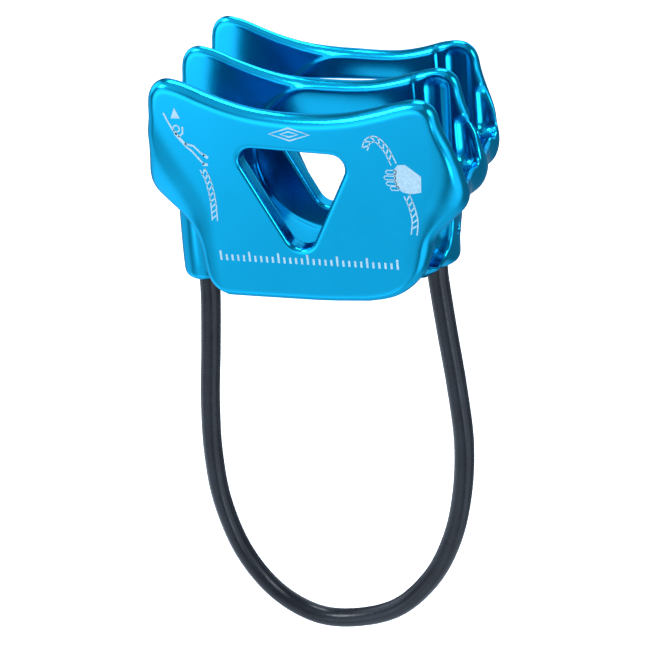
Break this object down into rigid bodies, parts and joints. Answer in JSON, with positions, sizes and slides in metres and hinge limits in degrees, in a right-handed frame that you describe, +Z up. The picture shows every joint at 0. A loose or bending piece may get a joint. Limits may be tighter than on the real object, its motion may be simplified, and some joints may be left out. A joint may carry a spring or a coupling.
{
  "type": "belay device",
  "caption": "Forged plate belay device with twin rope slots, flared lips and a hanging coated wire keeper loop.",
  "frame": {"origin": "underside of the middle plate, on its flat, where the locking carabiner bears", "axes": "+X along the plates towards the brake side, +Y through the plates towards the rear, +Z up to the ears; the keeper loop hangs along -Z"},
  "size_m": [0.0666, 0.0346, 0.1341],
  "materials": {
    "anodised_aluminium": "satin gloss blue anodised",
    "black_sheath": "glossy extruded plastic",
    "wire_rope": "bright wire",
    "ferrule_alloy": "plain swaged",
    "lock_pin_steel": "dark plated"
  },
  "bodies": {
    "device": {"body": "anodised_aluminium", "sheath_root_left": "black_sheath", "sheath_root_right": "black_sheath", "core_tail_left": "wire_rope", "core_tail_right": "wire_rope", "ferrule_left": "ferrule_alloy", "ferrule_right": "ferrule_alloy", "lock_pin_left": "lock_pin_steel", "lock_pin_right": "lock_pin_steel"},
    "keeper": {"keeper_sheath_loop": "black_sheath", "keeper_core_loop": "wire_rope"}
  },
  "joints": [
    {"name": "keeper_loop_flex", "type": "hinge", "parent": "device", "child": "keeper", "pos_m": [-0.0026, 0, -0.0041], "axis": [0.9935, 0, 0.1138], "range_deg": [-60, 60], "stiffness_Nm_per_rad": 0.05}
  ]
}
